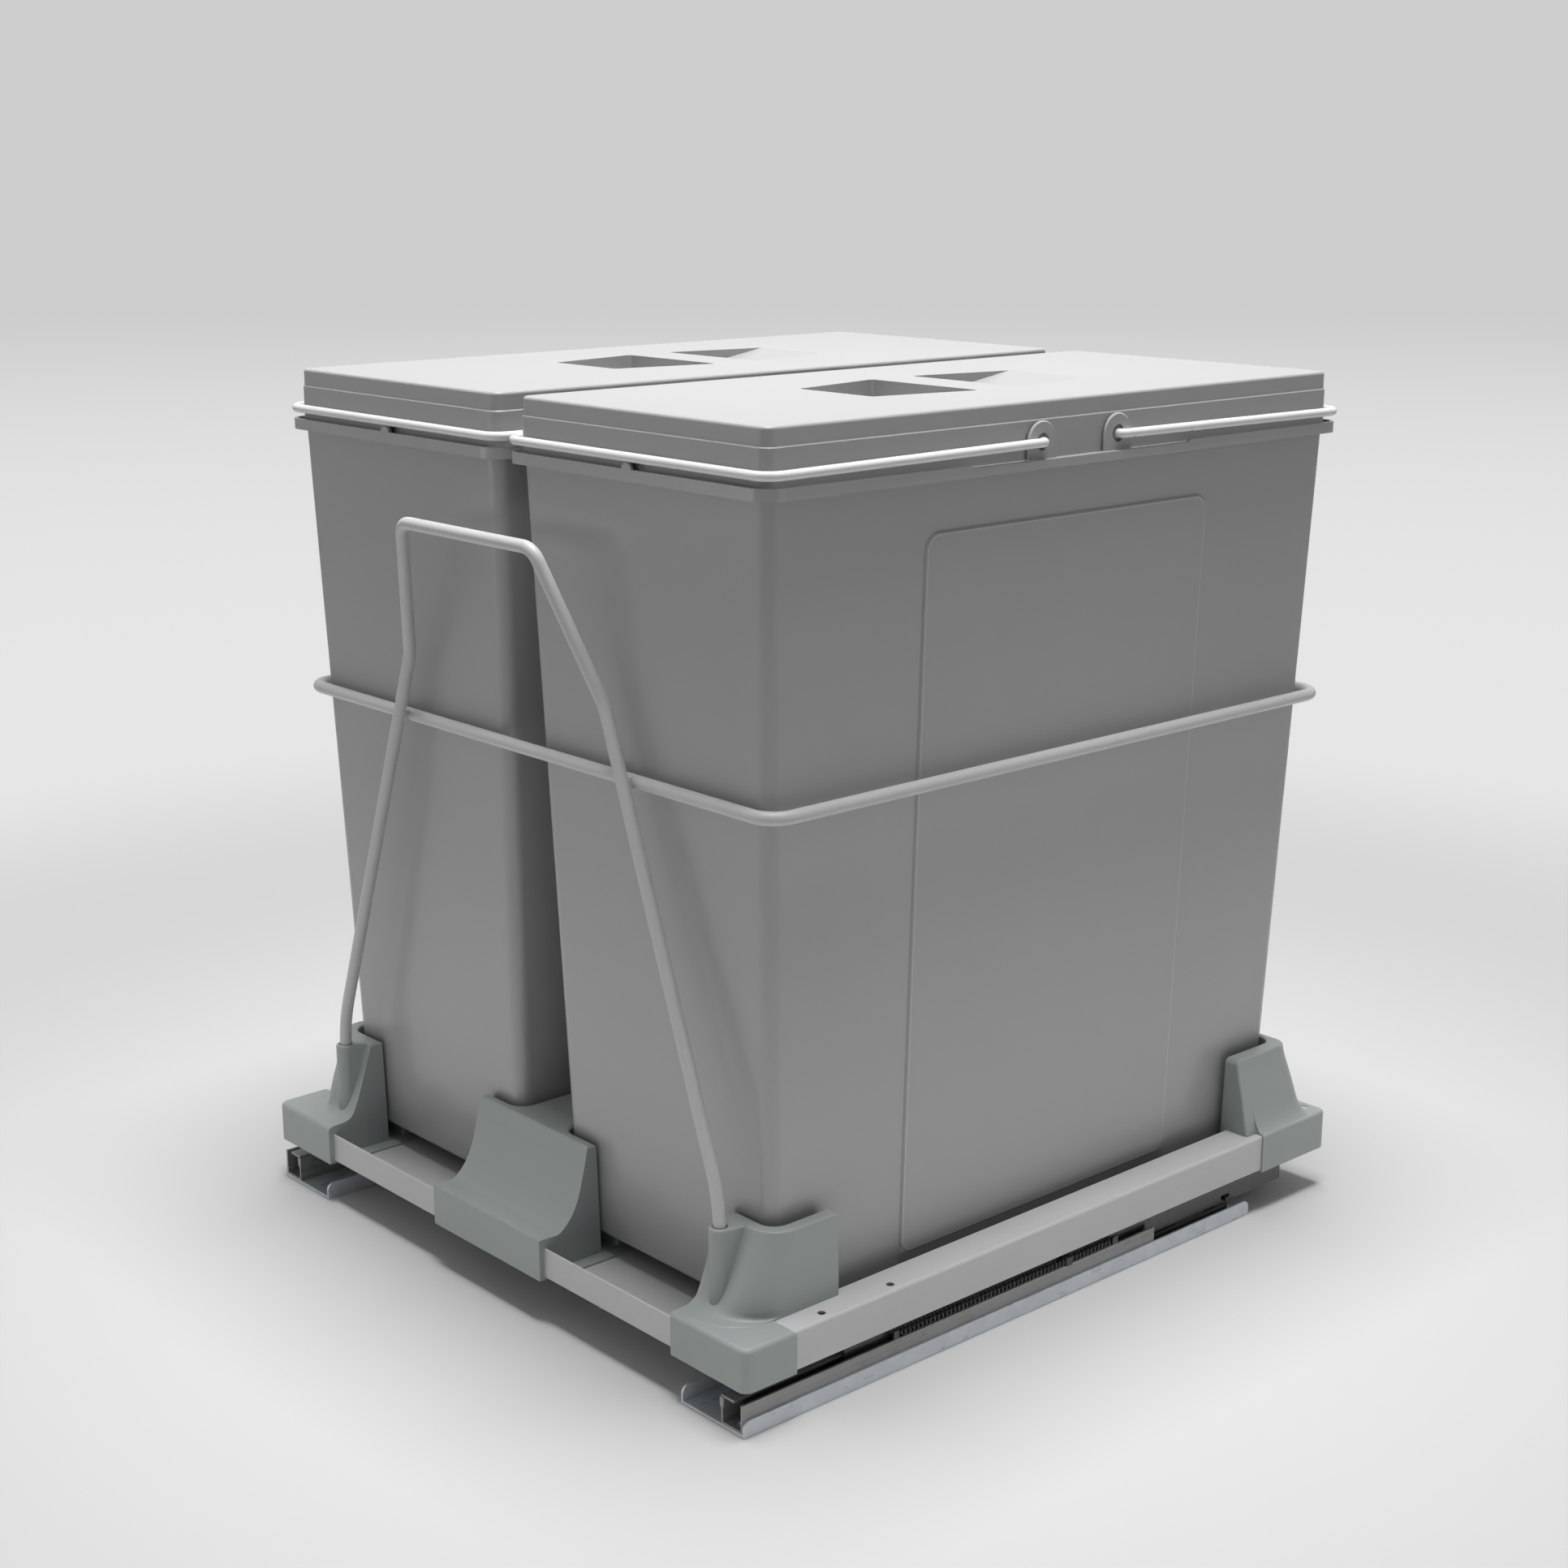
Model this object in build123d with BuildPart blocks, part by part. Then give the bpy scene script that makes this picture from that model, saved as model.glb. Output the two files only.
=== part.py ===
from build123d import *
import os
from math import atan, ceil, cos, exp, pi, sin, sqrt

# Pull-out waste unit for a 450 mm base cabinet: two lidded bins on a sliding tray.
# Millimetres, +X right, +Y to the back of the cabinet, +Z up, Z = 0 on the cabinet floor.
# The origin is under the middle of the unit's box.

os.makedirs("parts", exist_ok=True)

# ---------------------------------------------------------------- driving sizes
unit_width = 402.0
frame_depth = 431.0        # front face to rear face of the corner blocks
grip_overhang = 2.0        # the handle's grip stands this far in front of the blocks
unit_depth = frame_depth + grip_overhang
half_width = unit_width / 2
front = grip_overhang - unit_depth / 2
rear = unit_depth / 2
sheet = 1.2                # folded steel

# tray travel
pull_out = 350.0

# frame
frame_foot = 23.4
frame_top = 44.0
rail_width = 18.5          # top flange of the side rail
rail_outer = half_width - 1.0
floor_top = frame_foot + 2 * sheet
strip_height = 39.5
strip_front = front + 3.0
strip_rear = rear - 3.0

# bins
bin_offset = 97.5          # bin centre from the unit's centre plane
bin_y = front + 222.0
tub_foot = 35.8
tub_rim = 422.4
tub_foot_half = (75.5, 181.9)
tub_rim_half = (88.0, 194.5)
tub_wall = 2.2
rim_half = (93.8, 200.3)
rim_corner = 11.0
gutter_wall = 1.5
gutter_top = 428.0
flange_top = tub_rim + 4.2
flange_sheet = 2.0
ear_spacing = 53.0
ear_hole_z = 434.5
ear_face = 90.7            # outer face of an ear from the bin's centre plane
ear_sheet = 1.7
ear_radius = 9.8

# lids
lid_half = (88.6, 195.3)
lid_foot = flange_top
lid_step_z = 444.9
lid_step = 0.6
lid_top = 453.5
lid_wall = 2.0
lid_crown = 2.5

# bail handles
bail_wire = 4.4
bail_leg = 93.2            # leg from the bin's centre plane
bail_bar_y = 198.6         # cross bar from the bin's middle
bail_bar_z = 433.2

# hoop and front handle
hoop_wire = 6.4
hoop_half_x = 188.7
hoop_front = front + 26.95
hoop_rear = front + 418.8
hoop_z = 283.3
bend_x = 80.2              # where the handle's legs bend forward
bend_z = 317.7
grip_half = 53.7
grip_z = 389.6
socket_x = 159.8
socket_y = front + 20.5
socket_floor = 40.0
socket_top = 98.0          # where the legs start to lean inwards

# corner and centre blocks
block_foot = 22.9
block_flat = 44.5
block_top = 85.5
block_inner_x = 148.0
plate_inner_x = 139.5
front_block_depth = 31.5
rear_block_depth = 57.0
wall_rear_end = front + 71.0
leg_face = 186.3           # outer face of the front corner block's wall beside the bin
seat_inner = 2.2           # room between a bin and the block on its three sides
seat_outer = 3.8
seat_end = 2.0
plate_top = 26.8           # base plates on the tray floor
pad_size = 16.0            # raised pads that the bins stand on
pad_inset = 16.0           # pad's middle from the tub's foot edges
centre_half = 46.0

# slides
base_inner_x = 153.7
base_outer_x = 198.6
base_front = front + 1.3
base_rear = front + 366.5
base_sheet = 1.5
channel_inner_x = 182.6
channel_outer_x = 197.4
channel_lip_end = 191.7
channel_top = 16.4
outer_wall_top = 15.8
outer_wall_rear = front + 288.0
middle_front = front + 12.0
middle_rear = front + 352.0
moving_front = front + 68.0
moving_rear = front + 400.0
web_outer_x = 193.6
moving_foot = 10.0

# closing spring
spring_x = 196.8
spring_z = 18.2
spring_wire = 0.9
spring_radius = 1.6
spring_pitch = 6.4
post_top = 20.2            # end posts that hold the springs


# ---------------------------------------------------------------- helpers
def keep(solid, name):
    """Label a finished piece and write it under its own name."""
    solid.label = name
    export_step(solid, "parts/" + name + ".step")


def keep_pair(solid, name):
    """Write a right-hand piece and its mirror image on the left."""
    keep(solid, name + "_right")
    keep(solid.mirror(Plane.YZ), name + "_left")


def keep_group(solids, name):
    """Write equal fasteners as one group of separate solids."""
    keep(Compound(children=solids), name)


def arc_between(start, start_way, end, end_way):
    """Two tangent arcs that leave start along start_way and reach end along end_way."""
    gap = end - start
    ways = start_way + end_way
    spread = 2 * (1 - start_way.dot(end_way))
    along = gap.dot(ways)
    reach = (sqrt(along * along + spread * gap.dot(gap)) - along) / spread
    middle = (start + end + (start_way - end_way) * reach) / 2
    middle_way = (end - end_way * reach) - (start + start_way * reach)
    first = TangentArc(start, middle, tangent=start_way)
    second = TangentArc(middle, end, tangent=middle_way)
    return [first, second]


def rod(points, radii, diameter, close=False):
    """A bent wire: straight runs joined by tangent bends, round in section."""
    with BuildPart() as wire:
        with BuildLine() as route:
            FilletPolyline(points, radius=radii, close=close)
        with BuildSketch(Plane(origin=route.wire() @ 0, z_dir=route.wire() % 0)):
            Circle(diameter / 2)
        sweep(path=route.wire())
    return wire.part


def tub_half(height, extra=0.0):
    """Half width and half length of the bin's outer wall at a height, grown by extra."""
    share = (height - tub_foot) / (tub_rim - tub_foot)
    return [
        low + share * (high - low) + extra
        for low, high in zip(tub_foot_half, tub_rim_half)
    ]


# ---------------------------------------------------------------- bins
def tapered_box(centre_x, heights, extra_x, extra_y, corner, edge=0.0):
    """Tapered rounded box between two heights, for walls, pockets and panels."""
    with BuildPart() as box:
        for height in heights:
            half_x, half_y = tub_half(height)
            with BuildSketch(Plane(origin=(centre_x, bin_y, height))):
                RectangleRounded(2 * (half_x + extra_x), 2 * (half_y + extra_y), corner)
        loft(ruled=True)
        if edge:
            fillet(box.faces().sort_by(Axis.Z)[0].edges(), edge)
    return box.part


def bail_ear(centre_x, side, way):
    """Arched plate that stands in the gutter, with a pivot hole and rounded edges."""
    ear_origin = (centre_x + side * ear_face, bin_y + way * ear_spacing / 2, ear_hole_z)
    ear_plane = Plane(origin=ear_origin, x_dir=(0, -side, 0), z_dir=(-side, 0, 0))
    with BuildPart() as ear:
        with BuildSketch(ear_plane):
            Circle(ear_radius)
            stem = ear_hole_z - flange_top + 0.2
            Rectangle(2 * ear_radius, stem, align=(Align.CENTER, Align.MAX))
        extrude(amount=ear_sheet)
        rims = [face.edges() for face in ear.faces().filter_by(Axis.X)]
        chamfer([edge for rim in rims for edge in rim if edge.center().Z > flange_top + 1], 0.6)
        with BuildSketch(ear_plane):
            Circle(4.15)
        extrude(amount=ear_sheet, mode=Mode.SUBTRACT)
    return ear.part


def make_bin(name, centre_x):
    """Tapered tub with raised side panels, a gutter rim, a lid upstand and four bail ears."""
    panel_half = 98.5
    panel_top = 398.5
    upstand_top = 434.0
    upstand_half = (86.0, 192.7)
    side_view = Plane(origin=(centre_x, bin_y, 0), x_dir=(0, 1, 0), z_dir=(1, 0, 0))
    panel_foot = tub_foot + 8
    panel_middle = (panel_foot + panel_top) / 2
    lean = atan((tub_rim_half[0] - tub_foot_half[0]) / (tub_rim - tub_foot))
    with BuildPart() as panels:
        for side in (-1, 1):
            wall_x = centre_x + side * tub_half(panel_middle)[0]
            wall_face = Plane(
                origin=(wall_x, bin_y, panel_middle),
                x_dir=(0, side, 0),
                z_dir=(side * cos(lean), 0, -sin(lean)),
            )
            with BuildSketch(wall_face.offset(-0.4)):
                Rectangle(2 * panel_half + 1.6, panel_top - panel_foot + 1.6)
                fillet(vertices().group_by(Axis.Y)[-1], 8.8)
            extrude(amount=1.4, taper=40)
    with BuildPart() as tub:
        flange_foot = flange_top - flange_sheet
        add(tapered_box(centre_x, (tub_foot, flange_foot), 0, 0, 7.0, edge=3.0))
        add(panels.part)
        hollow = tapered_box(
            centre_x, (tub_foot + 2.5, flange_foot), -tub_wall, -tub_wall, 5.0, edge=1.5
        )
        add(hollow, mode=Mode.SUBTRACT)
        # rim flange, gutter wall and the upstand that the lid fits over
        with BuildSketch(Plane(origin=(centre_x, bin_y, flange_foot))):
            RectangleRounded(2 * rim_half[0], 2 * rim_half[1], rim_corner)
            RectangleRounded(
                2 * (upstand_half[0] - 2), 2 * (upstand_half[1] - 2), 3.0, mode=Mode.SUBTRACT
            )
        extrude(amount=flange_sheet)
        with BuildSketch(Plane(origin=(centre_x, bin_y, tub_rim))):
            RectangleRounded(2 * rim_half[0], 2 * rim_half[1], rim_corner)
            RectangleRounded(
                2 * (rim_half[0] - gutter_wall),
                2 * (rim_half[1] - gutter_wall),
                rim_corner - gutter_wall,
                mode=Mode.SUBTRACT,
            )
        extrude(amount=gutter_top - tub_rim)
        with BuildSketch(Plane(origin=(centre_x, bin_y, flange_top))):
            RectangleRounded(2 * upstand_half[0], 2 * upstand_half[1], 5.0)
            RectangleRounded(
                2 * (upstand_half[0] - 2), 2 * (upstand_half[1] - 2), 3.0, mode=Mode.SUBTRACT
            )
        extrude(amount=upstand_top - flange_top)
        # the gutter wall is cut away beside the ears, with slanted ends
        for side in (-1, 1):
            cut_face = side_view.offset(side * (rim_half[0] - 1.0) - 3)
            with BuildSketch(cut_face):
                with BuildLine():
                    Polyline(
                        (-78.5, gutter_top + 1),
                        (-75.0, flange_top),
                        (75.0, flange_top),
                        (78.5, gutter_top + 1),
                        close=True,
                    )
                make_face()
            extrude(amount=6, mode=Mode.SUBTRACT)
        for side in (-1, 1):
            for way in (-1, 1):
                add(bail_ear(centre_x, side, way))
        # half-round latch nub on the front gutter wall
        nub_middle = (centre_x, bin_y - rim_half[1], gutter_top - 1)
        with BuildSketch(Plane(origin=nub_middle, x_dir=(1, 0, 0), z_dir=(0, 1, 0))):
            Circle(3.8)
            with Locations((0, 3.4)):
                Rectangle(10, 4.8, mode=Mode.SUBTRACT)
        extrude(amount=gutter_wall)
    keep(tub.part, name)
    return tub.part


def make_lid(name, centre_x):
    """Lid with a stepped skirt and two ramped finger recesses on each side of a bridge."""
    bridge = 13.9
    recess_length = 59.6
    recess_depth = 12.7
    near_half = 37.0
    far_half = 25.5
    pocket_wall = 2.0

    def recess(way, grow, top):
        """Trapezoid pocket whose floor ramps up to nothing at its far end."""
        with BuildPart() as pocket:
            with BuildSketch(Plane(origin=(centre_x, bin_y, top))):
                near = way * (bridge - grow)
                far = way * (bridge + recess_length + grow)
                with BuildLine():
                    Polyline(
                        (-near_half - grow, near),
                        (near_half + grow, near),
                        (far_half + grow, far),
                        (-far_half - grow, far),
                        close=True,
                    )
                make_face()
                fillet(vertices(), 2.0 + grow)
            extrude(amount=-recess_depth - 3)
            slope = recess_depth / recess_length
            ramp_start = (centre_x, bin_y + way * (bridge + recess_length), lid_top - grow * 1.1)
            split(bisect_by=Plane(origin=ramp_start, z_dir=(0, -way * slope, 1)), keep=Keep.TOP)
        return pocket.part

    with BuildPart() as lid:
        with BuildSketch(Plane(origin=(centre_x, bin_y, lid_foot))):
            RectangleRounded(2 * lid_half[0], 2 * lid_half[1], 6.8)
        extrude(amount=lid_step_z - lid_foot)
        chamfer(lid.faces().sort_by(Axis.Z)[-1].edges(), lid_step)
        with BuildSketch(Plane(origin=(centre_x, bin_y, lid_step_z))):
            RectangleRounded(2 * (lid_half[0] - lid_step), 2 * (lid_half[1] - lid_step), 6.8 - lid_step)
        extrude(amount=lid_top - lid_step_z)
        fillet(lid.faces().sort_by(Axis.Z)[-1].edges(), 1.5)
        with BuildSketch(Plane(origin=(centre_x, bin_y, lid_foot))):
            RectangleRounded(2 * (lid_half[0] - lid_wall), 2 * (lid_half[1] - lid_wall), 4.8)
        extrude(amount=lid_top - lid_crown - lid_foot, mode=Mode.SUBTRACT)
        for way in (-1, 1):
            add(recess(way, pocket_wall, lid_top - 1))
        for way in (-1, 1):
            add(recess(way, 0.0, lid_top), mode=Mode.SUBTRACT)
        # notch in the front of the skirt above the latch nub
        with BuildSketch(Plane(origin=(centre_x, bin_y - lid_half[1], lid_foot))):
            Rectangle(6.4, 6.0)
        extrude(amount=5.2, mode=Mode.SUBTRACT)
    keep(lid.part, name)


def make_bail(name, centre_x, way):
    """U-shaped wire bail: way -1 lies round the front of the lid, +1 round the rear."""
    pivot_y = bin_y + way * ear_spacing / 2
    bar_y = bin_y + way * bail_bar_y
    tip_x = ear_face - ear_sheet + 0.3
    points = [
        (centre_x - tip_x, pivot_y, ear_hole_z),
        (centre_x - bail_leg, pivot_y, ear_hole_z),
        (centre_x - bail_leg, bar_y, bail_bar_z),
        (centre_x + bail_leg, bar_y, bail_bar_z),
        (centre_x + bail_leg, pivot_y, ear_hole_z),
        (centre_x + tip_x, pivot_y, ear_hole_z),
    ]
    keep(rod(points, (2.8, 9.5, 9.5, 2.8), bail_wire), name)


for side_name, centre_x in (("left", -bin_offset), ("right", bin_offset)):
    make_bin("bin_" + side_name, centre_x)
    make_lid("lid_" + side_name, centre_x)
    make_bail("bail_" + side_name + "_front", centre_x, -1)
    make_bail("bail_" + side_name + "_rear", centre_x, 1)

# ---------------------------------------------------------------- frame of the tray
frame_front = front + 4.2
frame_rear = rear - 4.2
front_view = Plane(origin=(0, frame_front, 0), x_dir=(1, 0, 0), z_dir=(0, -1, 0))
rail_centre = (rail_outer - rail_width / 2, (frame_foot + frame_top) / 2)

with BuildPart() as side_rail:
    with BuildSketch(front_view):
        with Locations(rail_centre):
            Rectangle(rail_width, frame_top - frame_foot)
        fillet(vertices().group_by(Axis.X)[-1], 1.8)
        with Locations((rail_centre[0] - sheet, rail_centre[1])):
            Rectangle(rail_width, frame_top - frame_foot - 2 * sheet, mode=Mode.SUBTRACT)
    extrude(amount=frame_front - frame_rear)
    with BuildSketch(Plane.XY.offset(frame_top)):
        with Locations((194.4, front + 52.6), (194.4, front + 96.9)):
            Circle(2.0)
    extrude(amount=-2 * sheet, mode=Mode.SUBTRACT)
keep_pair(side_rail.part, "side_rail")

with BuildPart() as tray_floor:
    floor_half = rail_outer - sheet - 0.1
    floor_centre_y = (strip_front + strip_rear) / 2
    with BuildSketch(Plane(origin=(0, floor_centre_y, floor_top - sheet))):
        Rectangle(2 * floor_half, frame_rear - frame_front)
        Rectangle(2 * (rail_outer - rail_width), strip_rear - strip_front)
    extrude(amount=sheet)
    for strip_y in (strip_front + sheet / 2, strip_rear - sheet / 2):
        with BuildSketch(Plane(origin=(0, strip_y, floor_top - sheet))):
            Rectangle(2 * (rail_outer - rail_width), sheet)
        extrude(amount=strip_height - floor_top + sheet)
keep(tray_floor.part, "tray_floor")

# hoop round both bins
hoop_points = [
    (hoop_half_x, hoop_front, hoop_z),
    (hoop_half_x, hoop_rear, hoop_z),
    (-hoop_half_x, hoop_rear, hoop_z),
    (-hoop_half_x, hoop_front, hoop_z),
]
hoop = rod(hoop_points, 12.0, hoop_wire, close=True)
keep(hoop, "ring_wire")

# handle: feet in the sockets, legs that lean inwards, grip bent forward
grip_y = front - grip_overhang + hoop_wire / 2
handle_points = [
    (-socket_x, socket_y, socket_floor),
    (-socket_x, socket_y, socket_top),
    (-bend_x, socket_y, bend_z),
    (-grip_half, grip_y, grip_z),
    (grip_half, grip_y, grip_z),
    (bend_x, socket_y, bend_z),
    (socket_x, socket_y, socket_top),
    (socket_x, socket_y, socket_floor),
]
handle = rod(handle_points, (85.0, 22.0, 9.5, 9.5, 22.0, 85.0), hoop_wire)
keep(handle, "front_handle")

# weld beads where the handle's legs cross the hoop
crossing_x = bend_x + (socket_x - bend_x) * (bend_z - hoop_z) / (bend_z - socket_top)
welds = []
for side in (-1, 1):
    with BuildPart() as weld:
        with BuildSketch(Plane(origin=(side * crossing_x, (socket_y + hoop_front) / 2, hoop_z))):
            Circle(3.0)
        extrude(amount=2.6, both=True)
        add(hoop, mode=Mode.SUBTRACT)
        add(handle, mode=Mode.SUBTRACT)
    welds += weld.part.solids()
keep_group(welds, "ring_welds")


# ---------------------------------------------------------------- blocks
scoop_steps = (0, 2.0, 5.5, 11.5, 21.5)
front_steps = (0, 0.5, 1.2, 2.6, 5.2)


def scooped(above, stand, lean, curl, drop):
    """Place of a leaning wall face at a height above the foot, where it curls out by curl."""
    return stand + lean * above - curl * exp(-above / drop)


def bin_pad(way_x, way_y, half=pad_size / 2):
    """Pad under one corner of the right bin; way_x and way_y name the corner."""
    pad_x = bin_offset + way_x * (tub_foot_half[0] - pad_inset)
    pad_y = bin_y + way_y * (tub_foot_half[1] - pad_inset)
    with BuildPart() as pad:
        with BuildSketch(Plane(origin=(pad_x, pad_y, floor_top))):
            RectangleRounded(2 * half, 2 * half, 2.0)
        extrude(amount=tub_foot - floor_top)
    return pad.part


def take_out_frame():
    """Cut the frame's sheet out of the block that caps it."""
    for piece in (side_rail.part, side_rail.part.mirror(Plane.YZ), tray_floor.part):
        add(piece, mode=Mode.SUBTRACT)


# space that each bin needs between the blocks: its tapered wall plus clearance
pocket_grow = (seat_outer + seat_inner) / 2
pocket_x = bin_offset + (seat_outer - seat_inner) / 2
right_pocket = tapered_box(pocket_x, (plate_top, 120.0), pocket_grow, seat_end, 8.5)
left_pocket = tapered_box(-pocket_x, (plate_top, 120.0), pocket_grow, seat_end, 8.5)

# front corner block: flat foot, scooped wall round the bin's corner, socket for the handle
with BuildPart() as front_block:
    foot_centre_x = (block_inner_x + half_width) / 2
    with BuildSketch(Plane(origin=(foot_centre_x, front + front_block_depth / 2, block_foot))):
        Rectangle(half_width - block_inner_x, front_block_depth)
    extrude(amount=block_flat - block_foot)
    fillet(
        front_block.edges().filter_by(Axis.Z).group_by(Axis.X)[-1].sort_by(Axis.Y)[0], 5.0
    )
    fillet(front_block.faces().sort_by(Axis.Z)[-1].edges().filter_by(Axis.Y, reverse=True), 2.4)
    # lower part of the wall, inside the frame
    with BuildSketch(Plane.XY.offset(floor_top)):
        with BuildLine():
            Polyline(
                (block_inner_x, front + 10),
                (leg_face, front + 10),
                (leg_face, wall_rear_end),
                (block_inner_x, wall_rear_end),
                close=True,
            )
        make_face()
    extrude(amount=block_flat - floor_top)
    # upper part of the wall: its front sweeps out into the foot, its corner widens downwards
    for steps in (front_steps, (front_steps[-1], 12.0, 24.0, block_top - block_flat)):
        for above in steps:
            face_y = scooped(above, front + 15.5, 0.345, 4.5, 2.6) - 8.4 * exp(-above / 0.5)
            side_x = leg_face - 0.02 * above
            with BuildSketch(Plane.XY.offset(block_flat + above)):
                with BuildLine():
                    Polyline(
                        (block_inner_x, face_y),
                        (side_x, face_y),
                        (side_x, wall_rear_end),
                        (block_inner_x, wall_rear_end),
                        close=True,
                    )
                make_face()
                corner = vertices().group_by(Axis.X)[-1].sort_by(Axis.Y)[0]
                fillet(corner, 15.0 + 12.0 * exp(-above / 4.0))
        loft()
    # socket boss and the web that ties it to the wall
    with BuildSketch(Plane.XY.offset(block_flat - 6)):
        with Locations((socket_x, socket_y)):
            Circle(5.3)
        with BuildLine():
            Polyline(
                (socket_x - 5.3, socket_y),
                (socket_x - 8.0, socket_y + 12),
                (socket_x + 8.0, socket_y + 12),
                (socket_x + 5.3, socket_y),
                close=True,
            )
        make_face()
    extrude(amount=block_top - block_flat + 6)
    add(right_pocket, mode=Mode.SUBTRACT)
    fillet(front_block.faces().sort_by(Axis.Z)[-1].edges(), 1.2)
    # base plate on the tray floor, with a pad under the bin
    with BuildSketch(Plane.XY.offset(floor_top)):
        with BuildLine():
            Polyline(
                (plate_inner_x, strip_front + sheet),
                (rail_outer - rail_width, strip_front + sheet),
                (rail_outer - rail_width, wall_rear_end + 8),
                (plate_inner_x, wall_rear_end + 8),
                close=True,
            )
        make_face()
    extrude(amount=plate_top - floor_top)
    add(bin_pad(1, -1))
    with BuildSketch(Plane(origin=(socket_x, socket_y, socket_floor))):
        Circle(3.7)
    extrude(amount=60, mode=Mode.SUBTRACT)
    take_out_frame()
keep_pair(front_block.part, "corner_block_front")

# rear corner block: longer foot, slanted wall, no socket
with BuildPart() as rear_block:
    with BuildSketch(Plane(origin=(foot_centre_x, rear - rear_block_depth / 2, block_foot))):
        Rectangle(half_width - block_inner_x, rear_block_depth)
    extrude(amount=block_flat - block_foot)
    fillet(
        rear_block.edges().filter_by(Axis.Z).group_by(Axis.X)[-1].sort_by(Axis.Y)[-1], 5.0
    )
    fillet(rear_block.faces().sort_by(Axis.Z)[-1].edges().filter_by(Axis.Y, reverse=True), 1.6)
    wall_start = front + 366.0
    wall_side = 195.6
    with BuildSketch(Plane.XY.offset(floor_top)):
        with Locations((block_inner_x, wall_start)):
            Rectangle(wall_side - block_inner_x, rear - 14 - wall_start, align=(Align.MIN, Align.MIN))
    extrude(amount=block_flat - floor_top)
    for above in (*scoop_steps, block_top - block_flat):
        side_x = scooped(above, wall_side, -0.2, -3.6, 3.5)
        back_y = scooped(above, rear - 11.5, -0.2, -2.0, 3.5)
        with BuildSketch(Plane.XY.offset(block_flat + above)):
            with BuildLine():
                Polyline(
                    (block_inner_x, wall_start),
                    (side_x, wall_start),
                    (side_x, back_y),
                    (block_inner_x, back_y),
                    close=True,
                )
            make_face()
            fillet(vertices().group_by(Axis.X)[-1].sort_by(Axis.Y)[-1], 9.0)
    loft()
    # the wall runs on in front of the foot without the flare
    with BuildSketch(Plane(origin=(0, wall_start, 0), x_dir=(1, 0, 0), z_dir=(0, -1, 0))):
        with BuildLine():
            Polyline(
                (wall_side + 0.05, block_flat),
                (wall_side + 0.05 - 0.2 * (block_top - block_flat), block_top),
                (wall_side + 10, block_top),
                (wall_side + 10, block_flat),
                close=True,
            )
        make_face()
    extrude(amount=-(rear - rear_block_depth - wall_start), mode=Mode.SUBTRACT)
    add(right_pocket, mode=Mode.SUBTRACT)
    fillet(rear_block.faces().sort_by(Axis.Z)[-1].edges().sort_by(Axis.Y)[0], 3.0)
    fillet(rear_block.faces().sort_by(Axis.Z)[-1].edges().sort_by(Axis.Y)[1:], 1.2)
    with BuildSketch(Plane.XY.offset(floor_top)):
        with BuildLine():
            Polyline(
                (plate_inner_x, strip_rear - sheet),
                (rail_outer - rail_width, strip_rear - sheet),
                (rail_outer - rail_width, front + 357),
                (plate_inner_x, front + 357),
                close=True,
            )
        make_face()
    extrude(amount=plate_top - floor_top)
    add(bin_pad(1, 1))
    # relief for the slide's upper rail, which ends under the block
    with BuildSketch(Plane(origin=(189.0, front + 386.0, block_foot))):
        Rectangle(10.4, 29.0)
    extrude(amount=frame_foot - block_foot, mode=Mode.SUBTRACT)
    # round hole behind the wall's foot
    with BuildSketch(Plane(origin=(190.0, rear - 7.0, block_flat - 8))):
        Circle(2.5)
    extrude(amount=20, mode=Mode.SUBTRACT)
    take_out_frame()
keep_pair(rear_block.part, "corner_block_rear")


# centre blocks: foot over the strip, scooped wall, nose between the bins
def make_centre_block(name, foot_face, way, foot_flat, face_line, nose):
    """way +1 builds the front block, -1 the rear one; depths count inwards from foot_face."""
    with BuildPart() as block:
        with BuildSketch(Plane.YZ.offset(-centre_half)):
            with BuildLine():
                start = (foot_face + way * foot_flat, block_flat)
                steps = (0.4, 3.0, 8.0, 14.0, 22.0, 31.0, block_top - block_flat)
                rise = [(foot_face + way * face_line(h), block_flat + h) for h in steps]
                scoop = Spline(start, *rise, tangents=((way, 0), (way * 0.21, 1)))
                Polyline(
                    scoop @ 1,
                    (foot_face + way * 50, block_top),
                    (foot_face + way * 50, block_foot),
                    (foot_face, block_foot),
                    (foot_face, block_flat),
                    scoop @ 0,
                )
            make_face()
        extrude(amount=2 * centre_half)
        add(right_pocket, mode=Mode.SUBTRACT)
        add(left_pocket, mode=Mode.SUBTRACT)
        # under the bins only a thin plate goes on, above the floor
        with BuildSketch(Plane(origin=(0, foot_face + way * 29.6, block_foot))):
            Rectangle(2 * centre_half + 2, 51)
        extrude(amount=floor_top - block_foot, mode=Mode.SUBTRACT)
        nose_start = 34.0
        with BuildSketch(Plane(origin=(0, foot_face + way * (nose + nose_start) / 2, floor_top))):
            Rectangle(2 * 24.0, nose - nose_start)
        extrude(amount=block_top - floor_top)
        add(right_pocket, mode=Mode.SUBTRACT)
        add(left_pocket, mode=Mode.SUBTRACT)
        chamfer(block.faces().sort_by(Axis.Z)[-1].edges(), 1.0)
        with BuildSketch(Plane(origin=(0, foot_face + way * 29, floor_top))):
            Rectangle(2 * (centre_half + 8), 49)
        extrude(amount=plate_top - floor_top)
        pad = bin_pad(-1, -way)
        add(pad)
        add(pad.mirror(Plane.YZ))
        take_out_frame()
    keep(block.part, name)


make_centre_block(
    "centre_block_front",
    front,
    1,
    5.0,
    lambda above: scooped(above, 22.5, 0.21, 9.9, 7.2),
    75.0,
)
make_centre_block(
    "centre_block_rear",
    rear,
    -1,
    2.5,
    lambda above: scooped(above, 11.5, 0.2, 5.0, 3.5),
    65.0,
)

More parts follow.
